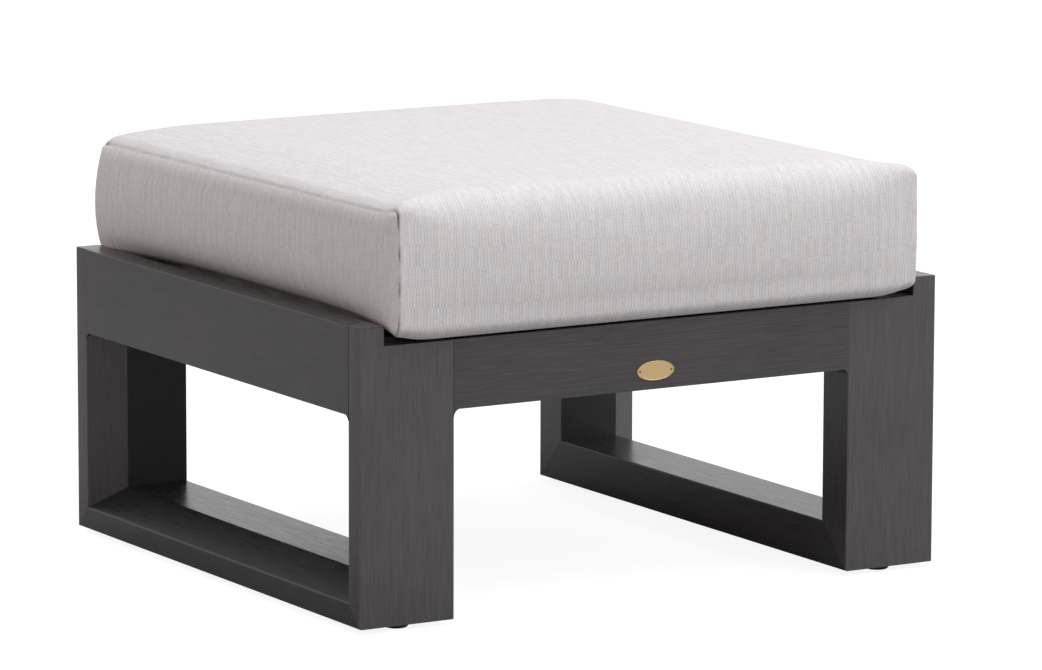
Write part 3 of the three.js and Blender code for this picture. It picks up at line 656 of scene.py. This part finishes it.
def cover_ring(x, inset=0.0):
    """The cover's outline at a station as points (y, z), round from the lower front turn."""
    way = max(0.0, seam_turn(SEAM_ANGLE)[0] - abs(x))
    rise = EDGE_RISE * (1 - max(0.0, 1 - way / EDGE_RISE_WIDTH) ** 2.5)
    rise += TOP_RISE * (1 - max(0.0, 1 - way / TOP_RISE_WIDTH) ** 2)
    wider = min(1.0, (HALF_WIDTH - abs(x)) / TOP_RADIUS_WIDTH)
    base, front, back = (
        max(SMALLEST_RADIUS, seam + (TOP_RADIUS - seam) * wider * rounded - inset)
        for seam, rounded in ((BASE_RADIUS, 0), (SEAM_RADIUS_FRONT, 1), (SEAM_RADIUS_BACK, 1)))
    reach = HALF_DEPTH - inset
    top = SIDE_HEIGHT + rise - inset
    turns = [
        (-reach + base, inset + base, base),
        (reach - base, inset + base, base),
        (reach - back, top - back, back),
        (-reach + front, top - front, front),
    ]
    points = []
    for i, (centre_y, centre_z, radius) in enumerate(turns):
        start = math.pi + i * math.pi / 2
        for k in range(CORNER_STEPS + 1):
            angle = start + k * math.pi / (2 * CORNER_STEPS)
            points.append(
                (centre_y + radius * math.cos(angle), centre_z + radius * math.sin(angle)))
        next_y, next_z, next_radius = turns[(i + 1) % 4]
        to_y = next_y + next_radius * math.cos(start + math.pi / 2)
        to_z = next_z + next_radius * math.sin(start + math.pi / 2)
        from_y, from_z = points[-1]
        steps = LONG_STEPS if i % 2 == 0 else SHORT_STEPS
        for k in range(1, steps):
            points.append(
                (from_y + (to_y - from_y) * k / steps, from_z + (to_z - from_z) * k / steps))
    return points


def filled_out(x, y, z):
    """Moves a point of the plain cover to where the stuffing pushes it.

    The top crowns, the front and back swell, and the sides bow out at half height, most at the
    back. Between its ends each side's lower part draws in, and its lower edge and the front's are
    lifted. The powers set how suddenly each of these fades.
    """
    wide = min(1.0, abs(x) / HALF_WIDTH)
    along = min(1.0, abs(y) / HALF_DEPTH)
    up = min(1.0, max(0.0, z / SIDE_HEIGHT))
    level = abs(2 * up - 1)
    to_back = (min(1.0, max(-1.0, y / HALF_DEPTH)) + 1) / 2
    at_side = smooth_step(HALF_WIDTH - BOW_REACH, HALF_WIDTH - BOW_EDGE, abs(x))
    off_end = 1 - along ** 4
    out = (BOW_FRONT + (BOW_BACK - BOW_FRONT) * to_back) * (1 - level ** 2)
    rolled = min(1.0, max(0.0, 1 - z / SIDE_DRAW_HEIGHT)) ** 2.5
    out = (out - SIDE_DRAW * off_end * rolled) * at_side
    swell = (BACK_BULGE if y > 0 else FRONT_BULGE) * (1 - 0.15 * wide ** 8)
    swell *= (1 - level ** 2) * along ** 8
    crown = TOP_CROWN * (1 - wide ** 2) * (1 - 0.6 * along ** 2) * up ** 4
    tilt = LEFT_TILT_FRONT + (LEFT_TILT_BACK - LEFT_TILT_FRONT) * to_back
    tilt *= up * smooth_step(0, HALF_WIDTH, -x)
    if y < 0:
        corner_way = math.hypot(HALF_DEPTH + y, (HALF_WIDTH - abs(x)) / 2)
        tilt += FRONT_EAR * up ** 4 * math.exp(-(corner_way / EAR_REACH) ** 2)
    low = max(0.0, 1 - z / LIFT_HEIGHT) ** 2
    side_low = max(0.0, 1 - z / SIDE_LIFT_HEIGHT) ** 2
    at_front = smooth_step(HALF_DEPTH - LIFT_DEPTH, HALF_DEPTH, -y)
    at_corner = smooth_step(HALF_WIDTH - CORNER_LIFT_WIDTH, HALF_WIDTH, abs(x)) ** 2
    end_lift = FRONT_END_LIFT if y < 0 else BACK_END_LIFT
    side_lift = end_lift + (SIDE_LIFT - end_lift) * off_end
    side_lift *= smooth_step(HALF_WIDTH - LIFT_DEPTH, HALF_WIDTH, abs(x)) * side_low
    lift = max((FRONT_LIFT + CORNER_LIFT * at_corner) * at_front * low, side_lift)
    return Vector((
        x + out * math.copysign(1.0, x),
        y + swell * math.copysign(1.0, y),
        z + crown + tilt + lift))


def placed(point):
    """A point of the cushion's own space, in the frame's."""
    return Vector((point.x, point.y + CUSHION_MIDDLE_Y, point.z + CUSHION_BASE))


def slot_rows():
    """The two points of the outline's run up the back that lie nearest the slot's edges."""
    first = 2 * (CORNER_STEPS + 1) + LONG_STEPS - 1
    middle = cover_ring(0.0)
    return [
        min(range(first, first + SHORT_STEPS - 1), key=lambda k: abs(middle[k][1] - height))
        for height in (SLOT_LOW, SLOT_HIGH)]


def seam_turn(degrees):
    """Half width and inset of the cover's outline at an angle of its turn over a side seam."""
    seam, angle = math.radians(SEAM_ANGLE), math.radians(degrees)
    first, second = min(angle, seam), max(angle, seam)
    reach = WRAP_TURN * math.sin(seam) + PANEL_TURN * (1 - math.sin(seam))
    out = WRAP_TURN * math.sin(first) + PANEL_TURN * (math.sin(second) - math.sin(seam))
    inset = WRAP_TURN * (1 - math.cos(first)) + PANEL_TURN * (math.cos(seam) - math.cos(second))
    return HALF_WIDTH - reach + out, inset


def seam_distance(degrees):
    """Way along the cover from a side seam to an angle of its turn, negative on the wrap panel."""
    radius = WRAP_TURN if degrees < SEAM_ANGLE else PANEL_TURN
    return radius * math.radians(degrees - SEAM_ANGLE)


def cover_stations():
    """Places across the cover, from seam to seam: x, the outline's inset, and way from the seam."""
    turned = [(*seam_turn(degrees), seam_distance(degrees)) for degrees in reversed(WRAP_ANGLES)]
    inner, first_way = turned[-1][0], turned[-1][2]
    outer_steps = round((inner - SLOT_HALF_LENGTH) / GRID_STEP)
    inner_steps = round(2 * SLOT_HALF_LENGTH / GRID_STEP)
    flat = [
        inner + (SLOT_HALF_LENGTH - inner) * k / outer_steps for k in range(1, outer_steps + 1)]
    side = turned + [(x, 0.0, first_way - (inner - x)) for x in flat]
    middle = [
        (-SLOT_HALF_LENGTH + 2 * SLOT_HALF_LENGTH * k / inner_steps, 0.0, -inner)
        for k in range(1, inner_steps)]
    return [(-x, inset, way) for x, inset, way in side] + middle + list(reversed(side))


def sewn_cover():
    """The sewn cover as one closed sheet: the wrap panel and, across each seam, a side panel.

    Each point keeps its way from the nearest side seam, and the faces over the zip are marked.
    """
    form = bmesh.new()
    weave = form.loops.layers.uv.new("weave")
    seam_way = form.verts.layers.float.new("seam_way")
    over_zip = form.faces.layers.int.new("over_zip")
    low_row, high_row = slot_rows()
    stations = cover_stations()
    rings = []
    for x, inset, way in stations:
        outline = cover_ring(x, inset)
        in_slot = abs(x) < SLOT_HALF_LENGTH + SLOT_SLACK
        if in_slot:
            outline[low_row] = (outline[low_row][0], SLOT_LOW)
            outline[high_row] = (outline[high_row][0], SLOT_HIGH)
        ring = []
        for y, z in outline:
            vert = form.verts.new(placed(filled_out(x, y, z)))
            vert[seam_way] = way
            ring.append(vert)
        rings.append(ring)
    count = len(rings[0])
    run = [0.0]
    middle = rings[len(rings) // 2]
    for k in range(count):
        run.append(run[-1] + (middle[(k + 1) % count].co - middle[k].co).length)
    for i in range(len(rings) - 1):
        near, distant = stations[i][0], stations[i + 1][0]
        for k in range(count):
            far = (k + 1) % count
            face = form.faces.new((rings[i][k], rings[i][far], rings[i + 1][far], rings[i + 1][k]))
            in_slot = max(abs(near), abs(distant)) < SLOT_HALF_LENGTH + SLOT_SLACK
            face[over_zip] = int(in_slot and low_row <= k < high_row)
            places = [(near, run[k]), (near, run[k + 1]), (distant, run[k + 1]), (distant, run[k])]
            for loop, place in zip(face.loops, places):
                loop[weave].uv = place
    for side, seam_ring in ((-1, rings[0]), (1, rings[-1])):
        side_panel(form, weave, seam_way, side, seam_ring)
    turn_out(form)
    return form


def side_panel(form, weave, seam_way, side, seam_ring):
    """A side panel, sewn to the wrap panel all round: rings in from the seam, then a grid."""
    loops = [seam_ring]
    for degrees in PANEL_ANGLES:
        x, inset = seam_turn(degrees)
        ring = []
        for y, z in cover_ring(HALF_WIDTH, inset):
            vert = form.verts.new(placed(filled_out(side * x, y, z)))
            vert[seam_way] = seam_distance(degrees)
            ring.append(vert)
        loops.append(ring)
    count = len(seam_ring)
    quads = []
    for outer, inner in zip(loops, loops[1:]):
        for k in range(count):
            far = (k + 1) % count
            quads.append((outer[k], outer[far], inner[far], inner[k]))
    ring = loops[-1]
    flat = [Vector(point) for point in cover_ring(HALF_WIDTH, seam_turn(90)[1])]
    half = CORNER_STEPS // 2
    long_count = LONG_STEPS + CORNER_STEPS
    short_count = SHORT_STEPS + CORNER_STEPS
    base = [half + k for k in range(long_count + 1)]
    back = [half + long_count + k for k in range(short_count + 1)]
    top = [half + long_count + short_count + k for k in range(long_count + 1)][::-1]
    front = [
        (half + 2 * long_count + short_count + k) % count for k in range(short_count + 1)][::-1]
    corners = [flat[base[0]], flat[base[-1]], flat[top[0]], flat[top[-1]]]
    grid = [[None] * (short_count + 1) for _ in range(long_count + 1)]
    for i in range(long_count + 1):
        for j in range(short_count + 1):
            if j == 0:
                grid[i][j] = ring[base[i]]
            elif j == short_count:
                grid[i][j] = ring[top[i]]
            elif i == 0:
                grid[i][j] = ring[front[j]]
            elif i == long_count:
                grid[i][j] = ring[back[j]]
            else:
                u, v = i / long_count, j / short_count
                place = (
                    flat[base[i]] * (1 - v) + flat[top[i]] * v
                    + flat[front[j]] * (1 - u) + flat[back[j]] * u
                    - corners[0] * (1 - u) * (1 - v) - corners[1] * u * (1 - v)
                    - corners[2] * (1 - u) * v - corners[3] * u * v)
                vert = form.verts.new(placed(filled_out(side * HALF_WIDTH, place.x, place.y)))
                from_edge = min(
                    HALF_DEPTH - abs(place.x), place.y, SIDE_HEIGHT - place.y) - seam_turn(90)[1]
                vert[seam_way] = seam_distance(90) + from_edge
                grid[i][j] = vert
    for i in range(long_count):
        for j in range(short_count):
            quads.append((grid[i][j], grid[i + 1][j], grid[i + 1][j + 1], grid[i][j + 1]))
    for quad in quads:
        face = form.faces.new(quad)
        for loop in face.loops:
            loop[weave].uv = (loop.vert.co.y, loop.vert.co.z)


def swollen(piece):
    """Stuffs the cover by cloth simulation: pressure inside, with its seams, base and zip held."""
    held = piece.vertex_groups.new(name="held")
    ways = piece.data.attributes["seam_way"].data
    for vert, way in zip(piece.data.vertices, ways):
        x, y, z = vert.co.x, vert.co.y - CUSHION_MIDDLE_Y, vert.co.z - CUSHION_BASE
        weight = math.exp(-(way.value / HELD_REACH) ** 2)
        from_zip = abs(z - (SLOT_LOW + SLOT_HIGH) / 2)
        at_zip = y > HALF_DEPTH - HELD_BACK and from_zip < HELD_ZIP_HEIGHT
        if z < HELD_BASE or at_zip and abs(x) < SLOT_HALF_LENGTH + HELD_ZIP_END:
            weight = 1.0
        held.add([vert.index], weight, "REPLACE")
    start = [vert.co.copy() for vert in piece.data.vertices]
    stuffing = piece.modifiers.new("stuffing", "CLOTH")
    settings = stuffing.settings
    settings.vertex_group_mass = "held"
    settings.use_pressure = True
    settings.uniform_pressure_force = STUFFING_PRESSURE
    settings.effector_weights.gravity = 0
    stuffing.point_cache.frame_start = 1
    stuffing.point_cache.frame_end = STUFFING_FRAMES
    scene = bpy.context.scene
    for number in range(1, STUFFING_FRAMES + 1):
        scene.frame_set(number)
    graph = bpy.context.evaluated_depsgraph_get()
    finished = piece.evaluated_get(graph)
    moves = [
        vert.co - first for vert, first in zip(finished.to_mesh().vertices, start)]
    finished.to_mesh_clear()
    piece.modifiers.clear()
    scene.frame_set(1)
    for vert, first, move in zip(piece.data.vertices, start, moves):
        vert.co = first + move * (STUFFING_REACH / (STUFFING_REACH + move.length))


def open_slot(mesh):
    """Cuts the zip's slot in the back of the cover and turns its edges in."""
    form = bmesh.new()
    form.from_mesh(mesh)
    over_zip = form.faces.layers.int["over_zip"]
    seam_way = form.verts.layers.float["seam_way"]
    bmesh.ops.delete(form, geom=[face for face in form.faces if face[over_zip]], context="FACES")
    for depth in SLOT_LIP:
        rim = [edge for edge in form.edges if edge.is_boundary]
        for item in bmesh.ops.extrude_edge_only(form, edges=rim)["geom"]:
            if isinstance(item, bmesh.types.BMVert):
                item.co.y -= depth
                item[seam_way] = -HALF_WIDTH
    turn_out(form)
    form.to_mesh(mesh)
    form.free()


def subdivided(piece):
    """The piece's mesh after one smooth subdivision, set in its place."""
    smooth = piece.modifiers.new("fine_surface", "SUBSURF")
    smooth.levels = 1
    smooth.render_levels = 1
    graph = bpy.context.evaluated_depsgraph_get()
    finer = bpy.data.meshes.new_from_object(piece.evaluated_get(graph), depsgraph=graph)
    piece.modifiers.clear()
    piece.data = finer


def draw_seams(mesh):
    """Pulls the cover in along its side seams, deepest at the corners, with small puckers beside.

    How far a seam gapes is kept for the weave, which paints shade in the gap.
    """
    ways = mesh.attributes["seam_way"].data
    painted_gap_shades = mesh.attributes.new("painted_seam_shade", "FLOAT", "POINT").data
    corner_top = CUSHION_BASE + SIDE_HEIGHT
    anywhere, on_upright, at_gape = GROOVE_SHARES
    moves = []
    for vert, way in zip(mesh.vertices, ways):
        beside = abs(way.value)
        if beside > PUCKER_REACH * 4:
            continue
        y, z = vert.co.y - CUSHION_MIDDLE_Y, vert.co.z
        run = y + z
        end_gap = HALF_DEPTH - abs(y)
        to_corner = math.hypot(end_gap, corner_top - z)
        tension = 0.5 + 0.5 * math.sin(
            2 * math.pi * run / STITCH_PULL + STITCH_START + 0.4 * math.sin(run / STITCH_WANDER))
        upright = smooth_step(HALF_DEPTH - UPRIGHT_REACH, HALF_DEPTH, abs(y))
        depth = GROOVE_DEPTH * (anywhere + (on_upright + at_gape * tension ** 2) * upright)
        corner = CORNER_GROOVE if y < 0 else CORNER_GROOVE / 3
        depth += corner * math.exp(-(to_corner / CORNER_GROOVE_REACH) ** 2)
        groove = depth * math.exp(-(beside / GROOVE_WIDTH) ** 2)
        painted_gap_shades[vert.index].value = PAINTED_GAP_SHADE * upright * min(1.0, groove / GROOVE_DEPTH)
        ridge = RIDGE_HEIGHT * (RIDGE_LEVEL + (1 - RIDGE_LEVEL) * upright)
        groove -= ridge * math.exp(-((beside - RIDGE_PLACE) / RIDGE_PLACE) ** 2)
        ripple = math.sin(2 * math.pi * run / PUCKER_PITCH + 1.3 * math.sin(run / PUCKER_WANDER))
        pucker = PUCKER_HEIGHT * ripple * (1 - math.exp(-beside / GROOVE_WIDTH))
        pucker *= math.exp(-beside / PUCKER_REACH) * (PUCKER_LEVEL + (1 - PUCKER_LEVEL) * upright)
        moves.append((vert, vert.normal * (pucker - groove)))
    for vert, move in moves:
        vert.co += move
    mesh.update()


def foam_core(cover_form):
    """The foam that fills the cover, a little inside it all round."""
    form = cover_form.copy()
    form.normal_update()
    moves = [(vert, vert.normal * -FOAM_INSET) for vert in form.verts]
    for vert, move in moves:
        vert.co += move
    core = new_piece(form, "cushion_core", [finish_foam])
    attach(core, "cushion")
    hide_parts("cushion_foam")


def make_cover():
    """The cushion: its sewn cover, filled out, with the foam core inside."""
    form = sewn_cover()
    foam_core(form)
    cover = new_piece(form, "cushion_cover", [finish_cover])
    swollen(cover)
    open_slot(cover.data)
    subdivided(cover)
    draw_seams(cover.data)
    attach(cover, "cushion")
    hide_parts("cushion_wrap", "cushion_left_panel", "cushion_right_panel")


def make_floor():
    """A plain pale floor, white to the eye, that keeps the stool's shadow."""
    material, tree, output = new_material("studio_floor")
    path = add_node(tree, "ShaderNodeLightPath")
    seen = add_node(
        tree, "ShaderNodeMath",
        {0: path.outputs["Is Glossy Ray"], 1: path.outputs["Is Transmission Ray"]},
        operation="MAXIMUM").outputs[0]
    bounce = add_node(
        tree, "ShaderNodeMix", {0: seen, 6: srgb("#969696"), 7: srgb("#e6e6e6")},
        data_type="RGBA").outputs[2]
    lit = add_node(tree, "ShaderNodeBsdfDiffuse", {"Color": bounce}).outputs[0]
    shadow = add_node(tree, "ShaderNodeBsdfDiffuse", {"Color": srgb("#8c8c8c")}).outputs[0]
    white = add_node(
        tree, "ShaderNodeEmission", {"Color": srgb("#ffffff"), "Strength": FLOOR_GLOW}).outputs[0]
    pale = add_node(tree, "ShaderNodeAddShader", {0: shadow, 1: white}).outputs[0]
    mixed = add_node(
        tree, "ShaderNodeMixShader", {0: path.outputs["Is Camera Ray"], 1: lit, 2: pale}).outputs[0]
    tree.links.new(mixed, output.inputs[0])
    form = bmesh.new()
    bmesh.ops.create_grid(form, x_segments=1, y_segments=1, size=FLOOR_HALF_SIZE)
    floor = new_piece(form, "studio_floor", [material])


def make_light():
    """A wide soft lamp from the upper right and a dim even room, with white beyond the floor."""
    world = bpy.data.worlds.new("studio")
    world.use_nodes = True
    tree = world.node_tree
    tree.nodes.clear()
    output = add_node(tree, "ShaderNodeOutputWorld")
    path = add_node(tree, "ShaderNodeLightPath")
    straight = add_node(
        tree, "ShaderNodeMath",
        {0: path.outputs["Is Camera Ray"], 1: path.outputs["Is Glossy Ray"]},
        operation="MAXIMUM").outputs[0]
    seen = add_node(
        tree, "ShaderNodeMath", {0: straight, 1: path.outputs["Is Transmission Ray"]},
        operation="MAXIMUM").outputs[0]
    way = add_node(tree, "ShaderNodeTexCoord").outputs["Generated"]
    height = add_node(tree, "ShaderNodeSeparateXYZ", {0: way}).outputs[2]
    level = add_node(
        tree, "ShaderNodeMapRange",
        {"Value": height, "From Min": 0.0, "From Max": 1.0,
         "To Min": ROOM_LOW, "To Max": ROOM_HIGH}).outputs[0]
    tone = add_node(
        tree, "ShaderNodeMix", {0: height, 6: srgb("#ffe6db"), 7: srgb("#f5fbff")},
        data_type="RGBA").outputs[2]
    room = add_node(
        tree, "ShaderNodeBackground", {"Color": tone, "Strength": level}).outputs[0]
    white = add_node(
        tree, "ShaderNodeBackground", {"Color": srgb("#ffffff"), "Strength": 1.0}).outputs[0]
    mixed = add_node(tree, "ShaderNodeMixShader", {0: seen, 1: room, 2: white}).outputs[0]
    tree.links.new(mixed, output.inputs[0])
    bpy.context.scene.world = world

    lamp = bpy.data.lights.new("key_lamp", "AREA")
    lamp.shape = "SQUARE"
    lamp.size = LAMP_SIZE
    lamp.energy = LAMP_POWER
    lamp.color = srgb("#f5faff")[:3]
    lamp_object = bpy.data.objects.new("key_lamp", lamp)
    lamp_object.location = LAMP_PLACE
    lamp_object.rotation_euler = (LAMP_PLACE - LAMP_AIM).to_track_quat("Z", "Y").to_euler()
    bpy.context.scene.collection.objects.link(lamp_object)


def make_camera():
    """The camera at the photograph's viewing angle."""
    camera = bpy.data.cameras.new("camera")
    camera.sensor_width = CAMERA_SENSOR
    camera.lens = CAMERA_FOCAL_PIXELS / PHOTO_WIDTH * CAMERA_SENSOR
    camera.clip_end = 100
    holder = bpy.data.objects.new("camera", camera)
    back = -CAMERA_LOOK
    up = back.cross(CAMERA_RIGHT)
    holder.matrix_world = Matrix.Translation(CAMERA_PLACE) @ Matrix(
        (CAMERA_RIGHT, up, back)).transposed().to_4x4()
    bpy.context.scene.collection.objects.link(holder)
    bpy.context.scene.camera = holder


make_camera()
make_light()
make_floor()
dress_plain_nodes()
dress_frame()
plate_rim()
zip_tape()
make_cover()
bpy.context.scene.view_settings.view_transform = "Standard"
